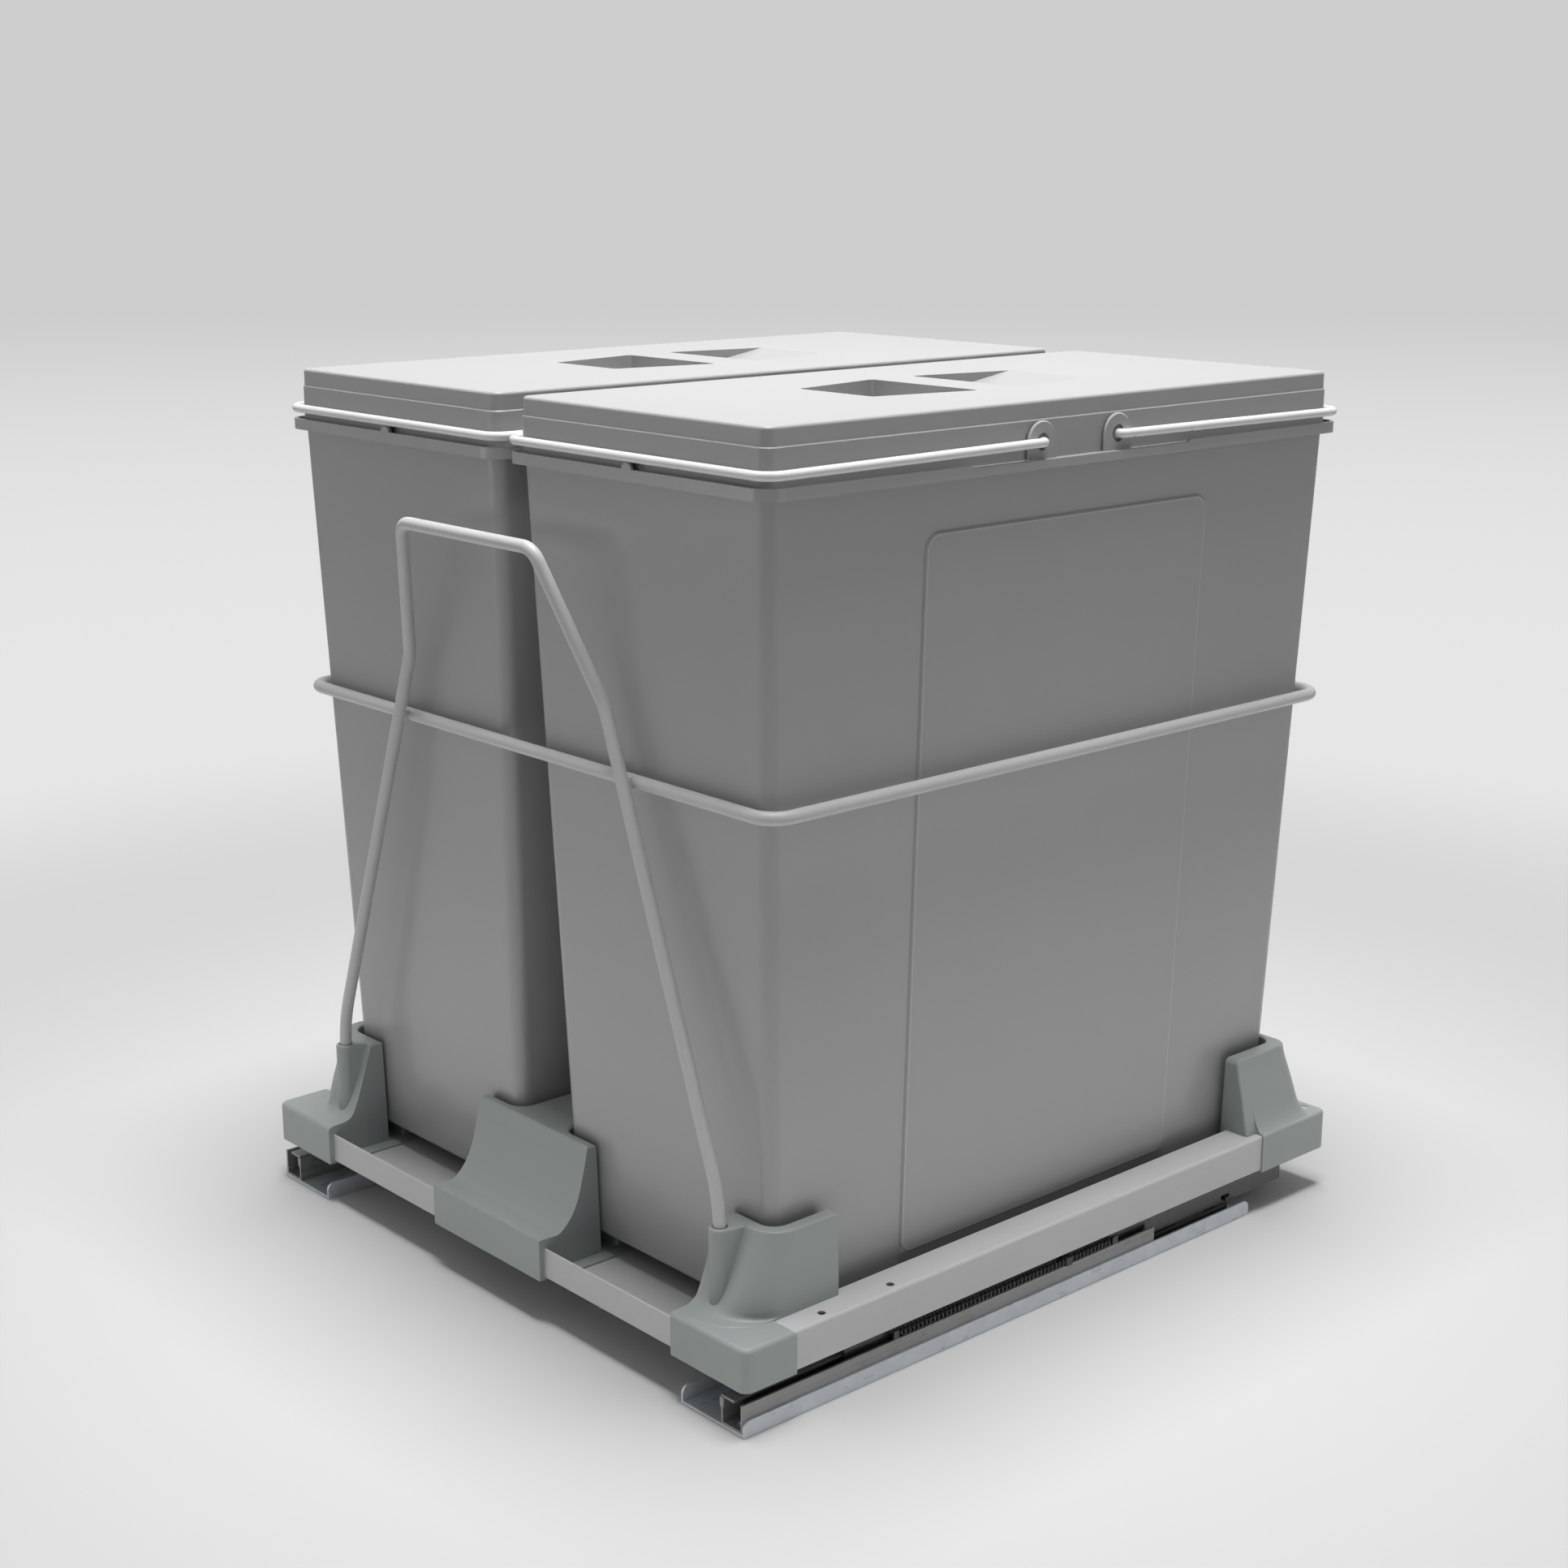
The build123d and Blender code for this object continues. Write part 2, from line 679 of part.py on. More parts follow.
# ---------------------------------------------------------------- slides
with BuildPart() as slide_base:
    base_middle_x = (base_inner_x + base_outer_x) / 2
    base_middle_y = (base_front + base_rear) / 2
    base_length = base_rear - base_front
    with BuildSketch(Plane(origin=(base_middle_x, base_middle_y, 0))):
        Rectangle(base_outer_x - base_inner_x, base_length)
    extrude(amount=base_sheet)
    for lip_x, lip_sheet, lip_top in (
        (base_inner_x, base_sheet, 8.8),
        (base_outer_x - sheet, sheet, 8.2),
    ):
        with BuildSketch(Plane.YZ.offset(lip_x)):
            with BuildLine():
                Polyline(
                    (base_front, 0),
                    (base_front, lip_top),
                    (base_rear, lip_top),
                    (base_rear, 0),
                    close=True,
                )
            make_face()
            fillet(vertices().group_by(Axis.Y)[-1], 4.0)
        extrude(amount=lip_sheet)
    with BuildSketch(Plane.XY):
        with Locations(*[(168.0, front + y) for y in (40.0, 330.0)]):
            Circle(2.25)
    extrude(amount=base_sheet, mode=Mode.SUBTRACT)
keep_pair(slide_base.part, "slide_base")

with BuildPart() as fixed_rail:
    channel_floor = base_sheet + sheet
    with BuildSketch(Plane(origin=(0, base_front, 0), x_dir=(1, 0, 0), z_dir=(0, -1, 0))):
        with BuildLine():
            Polyline(
                (channel_inner_x, base_sheet),
                (channel_outer_x, base_sheet),
                (channel_outer_x, outer_wall_top),
                (channel_outer_x - sheet, outer_wall_top),
                (channel_outer_x - sheet, channel_floor),
                (channel_inner_x + sheet, channel_floor),
                (channel_inner_x + sheet, channel_top - sheet),
                (channel_lip_end, channel_top - sheet),
                (channel_lip_end, channel_top),
                (channel_inner_x, channel_top),
                close=True,
            )
        make_face()
    extrude(amount=-base_length)
    with BuildSketch(Plane.YZ.offset(channel_outer_x - 2 * sheet)):
        with Locations(((outer_wall_rear + base_rear + 1) / 2, channel_floor + 10)):
            Rectangle(base_rear - outer_wall_rear + 1, 20)
    extrude(amount=4 * sheet, mode=Mode.SUBTRACT)
keep_pair(fixed_rail.part, "fixed_rail")

with BuildPart() as rail_clip:
    with BuildSketch(Plane(origin=(183.25, base_front + 4, 10.4))):
        Rectangle(2.7, 9.0)
    extrude(amount=channel_top - sheet - 10.4)
    fillet(rail_clip.edges().filter_by(Axis.Z), 0.6)
    add(fixed_rail.part, mode=Mode.SUBTRACT)
keep_pair(rail_clip.part, "rail_clip")

with BuildPart() as middle_rail:
    with BuildSketch(Plane(origin=(0, middle_front, 0), x_dir=(1, 0, 0), z_dir=(0, -1, 0))):
        with BuildLine():
            Polyline(
                (184.8, 3.8),
                (195.2, 3.8),
                (195.2, 9.6),
                (194.0, 9.6),
                (194.0, 5.0),
                (186.0, 5.0),
                (186.0, 9.6),
                (184.8, 9.6),
                close=True,
            )
        make_face()
    extrude(amount=middle_front - middle_rear)
keep_pair(middle_rail.part, "middle_rail")


def glide_pads(name, spots, low, high, left_x, right_x):
    """Nylon pads in one group, mirrored for the left slide."""
    pads = []
    for spot in spots:
        with BuildPart() as pad:
            with BuildSketch(Plane(origin=((left_x + right_x) / 2, front + spot, low))):
                RectangleRounded(right_x - left_x, 24.0, 1.5)
            extrude(amount=high - low)
        pads.append(pad.part.solid())
    keep_group(pads, name + "_right")
    keep_group([pad.mirror(Plane.YZ) for pad in pads], name + "_left")


glide_pads("middle_glides", (200.0, 335.0), 2.8, 3.8, 186.0, 194.0)
glide_pads("moving_glides", (212.0, 325.0), 5.1, moving_foot, 187.0, 192.0)

with BuildPart() as moving_rail:
    with BuildSketch(Plane(origin=(0, moving_front, 0), x_dir=(1, 0, 0), z_dir=(0, -1, 0))):
        with BuildLine():
            Polyline(
                (187.0, moving_foot),
                (web_outer_x, moving_foot),
                (web_outer_x, frame_foot),
                (184.5, frame_foot),
                (184.5, frame_foot - sheet),
                (web_outer_x - sheet, frame_foot - sheet),
                (web_outer_x - sheet, moving_foot + sheet),
                (187.0, moving_foot + sheet),
                close=True,
            )
        make_face()
    extrude(amount=moving_front - moving_rear)
    # hooked notch in the lower edge that the damper's catch drops into
    with BuildSketch(Plane.YZ.offset(180.0)):
        with Locations((front + 350.5, moving_foot + 1.5)):
            Rectangle(4.0, 5.0)
        with Locations((front + 353.5, moving_foot + 3.0)):
            Rectangle(4.0, 2.0)
    extrude(amount=20, mode=Mode.SUBTRACT)
keep_pair(moving_rail.part, "moving_rail")


def coil(start_y, end_y):
    """One unbroken extension coil with a straight leg at each end, and its least self gap."""
    leg = 3.0
    coil_start = start_y + leg
    half_turns = 2 * ceil((end_y - start_y - 2 * leg) / spring_pitch) + 1
    half_pitch = (end_y - start_y - 2 * leg) / half_turns
    rise = half_pitch / (pi * spring_radius)
    size = sqrt(1 + rise * rise)

    def place(turned):
        around = pi * turned
        return Vector(
            spring_x + spring_radius * sin(around),
            coil_start + half_pitch * turned,
            spring_z + spring_radius * cos(around),
        )

    def way(turned):
        around = pi * turned
        return Vector(cos(around) / size, rise / size, -sin(around) / size)

    with BuildPart() as spring:
        with BuildLine() as route:
            first = place(0)
            arc_between(Vector(first.X, start_y, first.Z), Vector(0, 1, 0), first, way(0))
            for turned in range(half_turns):
                arc_between(place(turned), way(turned), place(turned + 1), way(turned + 1))
            last = place(half_turns)
            arc_between(last, way(half_turns), Vector(last.X, end_y, last.Z), Vector(0, 1, 0))
        with BuildSketch(Plane(origin=route.wire() @ 0, z_dir=route.wire() % 0)):
            RegularPolygon(spring_wire / 2, 4)
        sweep(path=route.wire(), clean=False)
    return spring.part.solid(), 2 * half_pitch / size - spring_wire


link_y = 218.0
front_coil, front_gap = coil(front + 98.0 + 2.5, front + link_y)
rear_coil, rear_gap = coil(front + link_y + 5.0, front + 258.0 - 2.5)
print("least gap of the coils to themselves:", round(min(front_gap, rear_gap), 2), "mm")
keep_group([front_coil, rear_coil], "closing_spring_right")
keep_group([front_coil.mirror(Plane.YZ), rear_coil.mirror(Plane.YZ)], "closing_spring_left")

with BuildPart() as spring_link:
    with BuildSketch(Plane(origin=(spring_x, front + link_y + 2.5, outer_wall_top))):
        RectangleRounded(3.6, 5.0, 0.8)
    extrude(amount=post_top - outer_wall_top)
spring_holders = [spring_link.part]
for post_y in (98.8, 257.2):
    with BuildPart() as spring_post:
        with BuildSketch(Plane((channel_outer_x - sheet / 2, front + post_y, outer_wall_top))):
            Rectangle(sheet, 3.4)
        extrude(amount=post_top - outer_wall_top)
    spring_holders.append(spring_post.part)
keep_group(spring_holders, "spring_link_right")
keep_group([holder.mirror(Plane.YZ) for holder in spring_holders], "spring_link_left")


# ---------------------------------------------------------------- fasteners
def rivets(name, spots, low, high, head, head_height, head_up=True):
    """Equal flat-headed fasteners as one group, on the sheets between low and high."""
    solids = []
    for x, y in spots:
        with BuildPart() as one:
            head_z = high if head_up else low - head_height
            with BuildSketch(Plane(origin=(x, y, head_z))):
                Circle(head)
            extrude(amount=head_height)
        solids.append(one.part.solid())
    keep_group(solids, name)


base_spots = [
    (side * 190.0, front + y) for side in (-1, 1) for y in (8.0, 359.0)
]
rivets("base_rivets", base_spots, base_sheet, channel_floor, 2.2, 0.9)
block_spots = [
    (side * 172.0, y) for side in (-1, 1) for y in (front + 60.0, front + 365.0)
]
rivets("block_screws", block_spots, floor_top - sheet, floor_top, 3.6, 1.8, head_up=False)
rail_spots = [
    (side * 188.5, front + y) for side in (-1, 1) for y in (120.0, 240.0, 360.0)
]
rivets("tray_rivets", rail_spots, frame_foot, floor_top, 3.0, 1.0)
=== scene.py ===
"""Dresses the pull-out two-bin waste unit: finishes, close-wound springs, pale studio and camera."""

import math

import bmesh
import bpy
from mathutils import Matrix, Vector


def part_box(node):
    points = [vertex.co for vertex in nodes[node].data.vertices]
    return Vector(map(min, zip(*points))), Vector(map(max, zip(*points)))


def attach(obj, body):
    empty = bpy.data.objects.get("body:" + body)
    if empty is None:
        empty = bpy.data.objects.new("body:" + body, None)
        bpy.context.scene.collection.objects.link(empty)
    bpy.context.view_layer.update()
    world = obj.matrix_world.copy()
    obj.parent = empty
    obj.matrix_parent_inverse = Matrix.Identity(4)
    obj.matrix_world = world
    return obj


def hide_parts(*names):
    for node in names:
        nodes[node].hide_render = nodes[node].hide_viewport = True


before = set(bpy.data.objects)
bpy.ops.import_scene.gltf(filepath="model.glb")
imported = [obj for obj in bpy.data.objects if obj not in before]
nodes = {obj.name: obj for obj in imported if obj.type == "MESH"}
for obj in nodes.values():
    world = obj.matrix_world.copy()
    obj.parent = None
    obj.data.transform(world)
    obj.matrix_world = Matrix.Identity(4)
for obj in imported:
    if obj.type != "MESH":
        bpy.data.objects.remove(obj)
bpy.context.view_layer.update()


# ------------------------------------------------------------------ node graphs
class Signal:
    """A socket that does arithmetic: an expression on it adds Math nodes to its graph."""

    def __init__(self, graph, socket):
        self.graph, self.socket = graph, socket

    def math(self, operation, *values):
        return self.graph.node("ShaderNodeMath", {"operation": operation}, dict(enumerate(values)))[0]

    def __add__(self, other):
        return self.math("ADD", self, other)

    def __radd__(self, other):
        return self.math("ADD", other, self)

    def __sub__(self, other):
        return self.math("SUBTRACT", self, other)

    def __rsub__(self, other):
        return self.math("SUBTRACT", other, self)

    def __mul__(self, other):
        return self.math("MULTIPLY", self, other)

    def __rmul__(self, other):
        return self.math("MULTIPLY", other, self)

    def __pow__(self, other):
        return self.math("POWER", self, other)

    def __rpow__(self, other):
        return self.math("POWER", other, self)

    def __abs__(self):
        return self.math("ABSOLUTE", self)

    def least(self, other):
        return self.math("MINIMUM", self, other)

    def most(self, other):
        return self.math("MAXIMUM", self, other)

    def between(self, low, high, to_low=0.0, to_high=1.0):
        """Soft step: to_low below low, to_high above high."""
        settings = {"interpolation_type": "SMOOTHSTEP"}
        inputs = {"Value": self, "From Min": low, "From Max": high, "To Min": to_low, "To Max": to_high}
        return self.graph.node("ShaderNodeMapRange", settings, inputs)["Result"]


class Made:
    """A node that was added, with its outputs by name or number."""

    def __init__(self, graph, node):
        self.graph, self.raw = graph, node

    def __getitem__(self, key):
        return Signal(self.graph, self.raw.outputs[key])


class Graph:
    """A node tree that grows by one method for every kind of node."""

    def __init__(self, tree):
        self.tree = tree

    def node(self, kind, settings=None, inputs=None):
        made = self.tree.nodes.new(kind)
        for name, value in (settings or {}).items():
            setattr(made, name, value)
        for name, value in (inputs or {}).items():
            self.feed(made.inputs[name], value)
        return Made(self, made)

    def feed(self, socket, value):
        if isinstance(value, Signal):
            self.tree.links.new(value.socket, socket)
        else:
            socket.default_value = value


# A Mix node has sockets of the same name for every kind of data: these are the ones for colour.
mix_factor, mix_first, mix_second, mix_result = 0, 6, 7, 2


class Finish(Graph):
    """A material: one Principled shader, the Object coordinates and the patterns that feed it."""

    def __init__(self, name, **constants):
        self.material = bpy.data.materials.new(name)
        self.material.use_nodes = True
        super().__init__(self.material.node_tree)
        self.shader = self.tree.nodes["Principled BSDF"]
        for key, value in constants.items():
            self.shader.inputs[key.replace("_", " ")].default_value = value
        self.place = self.node("ShaderNodeTexCoord")["Object"]
        axes = self.node("ShaderNodeSeparateXYZ", None, {0: self.place})
        self.x, self.y, self.z = axes["X"], axes["Y"], axes["Z"]

    def stretched(self, scale):
        """Object coordinates stretched by a scale, for grain that runs one way."""
        return self.node("ShaderNodeMapping", None, {"Vector": self.place, "Scale": scale})["Vector"]

    def noise(self, scale, detail=2.0, place=None, distortion=0.0):
        inputs = {"Vector": place or self.place, "Scale": scale, "Detail": detail, "Distortion": distortion}
        return self.node("ShaderNodeTexNoise", {"noise_dimensions": "3D"}, inputs)[0]

    def cells(self, scale, output="Distance"):
        settings = {"voronoi_dimensions": "3D", "feature": "F1"}
        return self.node("ShaderNodeTexVoronoi", settings, {"Vector": self.place, "Scale": scale})[output]

    def blend(self, amount, first, second):
        """Colour between first and second by an amount from 0 to 1."""
        made = self.node("ShaderNodeMix", {"data_type": "RGBA", "clamp_factor": True})
        self.feed(made.raw.inputs[mix_factor], amount)
        self.feed(made.raw.inputs[mix_first], first)
        self.feed(made.raw.inputs[mix_second], second)
        return made[mix_result]

    def bump(self, height, distance, strength):
        inputs = {"Height": height, "Distance": distance, "Strength": strength}
        return self.node("ShaderNodeBump", None, inputs)["Normal"]

    def finish(self, color=None, roughness=None, normal=None, metallic=None, coat=None):
        """Feeds what varies to the shader and gives the material back."""
        for name, value in (
            ("Base Color", color),
            ("Roughness", roughness),
            ("Normal", normal),
            ("Metallic", metallic),
            ("Coat Weight", coat),
        ):
            if value is not None:
                self.feed(self.shader.inputs[name], value)
        return self.material


def grey(level, warm=0.0):
    """A near-grey colour, slightly warmer or cooler."""
    return (level * (1 + warm), level, level * (1 - warm), 1.0)


def shaded(color, factor):
    """A colour made darker or lighter by a factor."""
    return tuple(min(1.0, part * factor) for part in color[:3]) + (1.0,)


# ------------------------------------------------------------------ finishes
# Outline of the raised panel on the long sides of the CAD bins, in metres: middle and half size in y
# and z, corner radius. A painted shade line and a painted highlight line follow it, so that its step also
# reads in flat light.
panel_middle = (0.0075, 0.22115)
panel_half = (0.0985, 0.17735)
panel_corner = 0.0088
# Painted shade line this far outside the panel's edge, painted highlight line this far inside; both fade from
# core to reach.
shade_line_outside = 0.0007
highlight_line_inside = 0.0008
line_core = 0.0001
line_reach = 0.0007


def panel_distance(f):
    """Signed distance in metres from the outline of the raised panel on a bin's long side."""
    beside = abs(f.y - panel_middle[0]) - (panel_half[0] - panel_corner)
    above = abs(f.z - panel_middle[1]) - (panel_half[1] - panel_corner)
    corner = (beside.most(0.0) ** 2.0 + above.most(0.0) ** 2.0) ** 0.5
    return corner + beside.most(above).least(0.0) - panel_corner


def painted_panel_lines(f, color, base):
    """The colour with a painted shade line just outside the panel's edge and a painted highlight line just
    inside.
    """
    edge = panel_distance(f)
    # Painted shade just outside the edge darkens the colour; painted highlight just inside lightens it.
    painted_shade_line = abs(edge - shade_line_outside).between(line_core, line_reach, 1.0, 0.0)
    painted_highlight_line = abs(edge + highlight_line_inside).between(line_core, line_reach, 1.0, 0.0)
    shade_lined = f.blend(painted_shade_line * 0.30, color, shaded(base, 0.3))
    return f.blend(painted_highlight_line * 0.20, shade_lined, shaded(base, 2.0))


def moulded_plastic(name, base, sheen, panel=False):
    """Moulded polypropylene: soft flow clouding and a very fine, faint grain."""
    f = Finish(name, Roughness=0.4, IOR=1.49)
    grain = f.noise(1100.0, 1.0)
    pits = f.cells(900.0)
    flow = f.noise(9.0, 2.0, f.stretched((1.0, 1.0, 0.3)), distortion=0.4)
    clouds = f.noise(4.0)
    tone = (flow - 0.5) * 0.20 + (clouds - 0.5) * 0.22 + (grain - 0.5) * 0.03
    color = f.blend(tone + 0.5, shaded(base, 0.88), shaded(base, 1.12))
    # With panel, painted shade and highlight lines are laid along the raised panel's edge.
    if panel:
        color = painted_panel_lines(f, color, base)
    rough = sheen + (grain - 0.5) * 0.03 + (clouds - 0.5) * 0.08
    height = grain * 0.6 + pits * 0.4
    return f.finish(color, rough, f.bump(height, 0.00002, 0.05))


def powder_coat(name, base, sheen):
    """Baked powder paint on steel: orange peel, faint clouding, tiny specks and rubbed places."""
    f = Finish(name, Roughness=0.4, IOR=1.5)
    peel = f.noise(420.0)
    fine = f.noise(1600.0)
    clouds = f.noise(9.0, 3.0)
    specks = f.cells(700.0).between(0.06, 0.14, 1.0, 0.0)
    rubbed = f.noise(38.0, 5.0, f.stretched((1.0, 0.35, 1.0))).between(0.60, 0.72)
    tone = (clouds - 0.5) * 0.5 + (fine - 0.5) * 0.3 + 0.5
    color = f.blend(tone, shaded(base, 0.90), shaded(base, 1.10))
    color = f.blend(specks * 0.16, color, grey(base[0] * 0.5))
    color = f.blend(rubbed * 0.12, color, grey(base[0] * 1.25))
    rough = sheen + (peel - 0.5) * 0.12 + (clouds - 0.5) * 0.10 - rubbed * 0.08
    return f.finish(color, rough, f.bump(peel * 0.7 + fine * 0.3, 0.00006, 0.5))


def dipped_coat(name, base):
    """Thick white plastic coating on a wire: glossy, slightly uneven, with faint handling marks."""
    f = Finish(name, Roughness=0.3, IOR=1.46, Coat_Roughness=0.15)
    runs = f.noise(70.0, 3.0)
    fine = f.noise(900.0)
    handled = f.noise(24.0, 4.0).between(0.55, 0.75)
    color = f.blend((runs - 0.5) * 0.6 + 0.5, grey(base * 0.95), grey(base, 0.01))
    color = f.blend(handled * 0.22, color, grey(0.6, 0.04))
    rough = 0.30 + (runs - 0.5) * 0.16 + handled * 0.14 + (fine - 0.5) * 0.06
    bump = f.bump(runs * 0.7 + fine * 0.3, 0.00010, 0.35)
    return f.finish(color, rough, bump, coat=0.25 - handled * 0.15)


def galvanised(name):
    """Zinc-coated sheet: soft spangle, bluish cast, rolling lines along the rail and faint rub marks."""
    f = Finish(name, Roughness=0.4, IOR=1.5)
    spangle = f.node("ShaderNodeSeparateColor", None, {0: f.cells(160.0, output="Color")})[0]
    rolling = f.noise(900.0, 0.0, f.stretched((1.0, 0.012, 1.0)))
    clouds = f.noise(12.0, 3.0)
    rub = f.noise(120.0, 4.0, f.stretched((1.0, 0.05, 1.0))).between(0.58, 0.72)
    dull, bright, rubbed = (0.46, 0.485, 0.52, 1.0), (0.58, 0.605, 0.645, 1.0), (0.70, 0.73, 0.77, 1.0)
    color = f.blend(spangle * 0.5 + (clouds - 0.5) * 0.5 + 0.2, dull, bright)
    color = f.blend((rolling - 0.5) * 0.3 + rub * 0.05, color, rubbed)
    rough = 0.36 + (spangle - 0.5) * 0.14 + (rolling - 0.5) * 0.16 - rub * 0.03
    metal = 0.30 - clouds.between(0.5, 0.8) * 0.12
    return f.finish(color, rough, f.bump(rolling * 0.6 + spangle * 0.4, 0.00002, 0.15), metallic=metal)


def rolled_steel(name, base, metal):
    """Steel of a slide, plain or blackened: drawn lines along its length, grease film and rub tracks."""
    f = Finish(name, Roughness=0.4, IOR=1.5)
    drawn = f.noise(800.0, 0.0, f.stretched((1.0, 0.01, 1.0)))
    grease = f.noise(30.0, 4.0).between(0.42, 0.66)
    track = f.noise(300.0, 3.0, f.stretched((1.0, 0.02, 1.0))).between(0.60, 0.70)
    color = f.blend((drawn - 0.5) * 0.6 + 0.5, grey(base * 0.75), grey(base * 1.3))
    color = f.blend(track * 0.1, color, grey(base * 1.8, 0.02))
    color = f.blend(grease * 0.25, color, grey(base * 0.6, 0.05))
    rough = 0.40 + (drawn - 0.5) * 0.2 - grease * 0.14
    return f.finish(color, rough, f.bump(drawn, 0.00002, 0.15), metallic=metal - grease * 0.2)


def nylon(name):
    """Natural nylon: waxy off-white with a grey film where it runs."""
    f = Finish(name, Roughness=0.4, IOR=1.53)
    cloud = f.noise(160.0, 3.0)
    film = f.noise(500.0, 3.0, f.stretched((1.0, 0.1, 1.0))).between(0.5, 0.75)
    color = f.blend(cloud, grey(0.60, 0.03), grey(0.74, 0.02))
    color = f.blend(film * 0.3, color, grey(0.30))
    return f.finish(color, 0.34 + (cloud - 0.5) * 0.2 + film * 0.1, f.bump(cloud, 0.00005, 0.5))


def spring_wire(name):
    """Drawn spring steel, nearly black, with a dull oil film."""
    f = Finish(name, Roughness=0.4, IOR=1.5)
    oil = f.noise(260.0, 3.0)
    bright = f.noise(700.0, 3.0).between(0.58, 0.75)
    color = f.blend(oil, grey(0.035), grey(0.09, 0.04))
    color = f.blend(bright * 0.3, color, grey(0.16))
    return f.finish(color, 0.34 + (oil - 0.5) * 0.24, f.bump(bright, 0.00004, 0.4), metallic=0.85 - oil * 0.2)


def zinc_plate(name):
    """Bright zinc on rivets and screws: fine swirls and a faint yellow tint in places."""
    f = Finish(name, Roughness=0.35, IOR=1.5)
    swirl = f.noise(900.0, 3.0)
    tint = f.noise(200.0).between(0.4, 0.7)
    color = f.blend(tint, (0.50, 0.52, 0.54, 1.0), (0.62, 0.60, 0.54, 1.0))
    return f.finish(color, 0.3 + (swirl - 0.5) * 0.24, f.bump(swirl, 0.00004, 0.5), metallic=0.9 - tint * 0.1)


bin_finish = moulded_plastic("bin_grey", grey(0.365), 0.25, panel=True)
lid_finish = moulded_plastic("lid_grey", grey(0.330), 0.40)
block_finish = moulded_plastic("block_green_grey", (0.290, 0.316, 0.309, 1.0), 0.46)
frame_finish = powder_coat("frame_powder", (0.480, 0.480, 0.485, 1.0), 0.46)
wire_finish = powder_coat("wire_powder", grey(0.490), 0.42)
bail_finish = dipped_coat("bail_white", 0.68)
zinc_finish = galvanised("bracket_zinc")
rail_finish = rolled_steel("rail_dark", 0.075, 0.75)
channel_finish = rolled_steel("channel_steel", 0.24, 0.45)
# The spring link: near-black steel with little metal, partly its own dark finish and partly painted shade, so
# it reads as dark as the shaded channel around it.
link_painted_shade_finish = rolled_steel("link_dark", 0.035, 0.2)
nylon_finish = nylon("glide_nylon")
spring_finish = spring_wire("spring_black")
screw_finish = zinc_plate("fastener_zinc")

dressing = {
    "bin_": bin_finish,
    "lid_": lid_finish,
    "bail_": bail_finish,
    "corner_block_": block_finish,
    "centre_block_": block_finish,
    "side_rail_": frame_finish,
    "tray_floor": frame_finish,
    "ring_": wire_finish,
    "front_handle": wire_finish,
    "slide_base_": zinc_finish,
    "fixed_rail_": channel_finish,
    "middle_rail_": rail_finish,
    "moving_rail_": rail_finish,
    "middle_glides_": nylon_finish,
    "moving_glides_": nylon_finish,
    "rail_clip_": channel_finish,
    "spring_link_": link_painted_shade_finish,
    "closing_spring_": spring_finish,
    "base_rivets": screw_finish,
    "tray_rivets": screw_finish,
    "block_screws": screw_finish,
}
for node_name, piece in nodes.items():
    for start, material in dressing.items():
        if node_name.startswith(start):
            for place in piece.material_slots:
                place.material = material


# ------------------------------------------------------------------ closing springs by Geometry Nodes
def grown(name, mesh, tree, sizes, body, stands_for=()):
    """Runs a Geometry Nodes tree on a mesh and keeps the result as one plain mesh on a body."""
    carrier = bpy.data.objects.new(name + "_carrier", mesh)
    bpy.context.scene.collection.objects.link(carrier)
    modifier = carrier.modifiers.new("grow", "NODES")
    modifier.node_group = tree
    for item in tree.interface.items_tree:
        if item.item_type == "SOCKET" and item.in_out == "INPUT" and item.name in sizes:
            modifier[item.identifier] = sizes[item.name]
    evaluated = carrier.evaluated_get(bpy.context.evaluated_depsgraph_get())
    result = bpy.data.meshes.new_from_object(evaluated)
    result.name = name
    carrier.modifiers.remove(modifier)
    bpy.data.objects.remove(carrier)
    piece = bpy.data.objects.new(name, result)
    bpy.context.scene.collection.objects.link(piece)
    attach(piece, body)
    if stands_for:
        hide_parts(*stands_for)
    return piece


def new_tree(name, sizes):
    """An empty Geometry Nodes tree with named number inputs."""
    tree = bpy.data.node_groups.new(name, "GeometryNodeTree")
    tree.interface.new_socket("Geometry", in_out="INPUT", socket_type="NodeSocketGeometry")
    for size_name, value in sizes.items():
        socket = tree.interface.new_socket(size_name, in_out="INPUT", socket_type="NodeSocketFloat")
        socket.default_value = value
    tree.interface.new_socket("Geometry", in_out="OUTPUT", socket_type="NodeSocketGeometry")
    graph = Graph(tree)
    return graph, graph.node("NodeGroupInput")


def close_tree(graph, geometry, material):
    """Ends a tree: smooth faces, real geometry and its material."""
    smooth = graph.node("GeometryNodeSetShadeSmooth", None, {"Geometry": geometry})["Geometry"]
    real = graph.node("GeometryNodeRealizeInstances", None, {"Geometry": smooth})["Geometry"]
    dressed = graph.node("GeometryNodeSetMaterial", None, {"Geometry": real, "Material": material})["Geometry"]
    graph.node("NodeGroupOutput", None, {"Geometry": dressed})
    return graph.tree


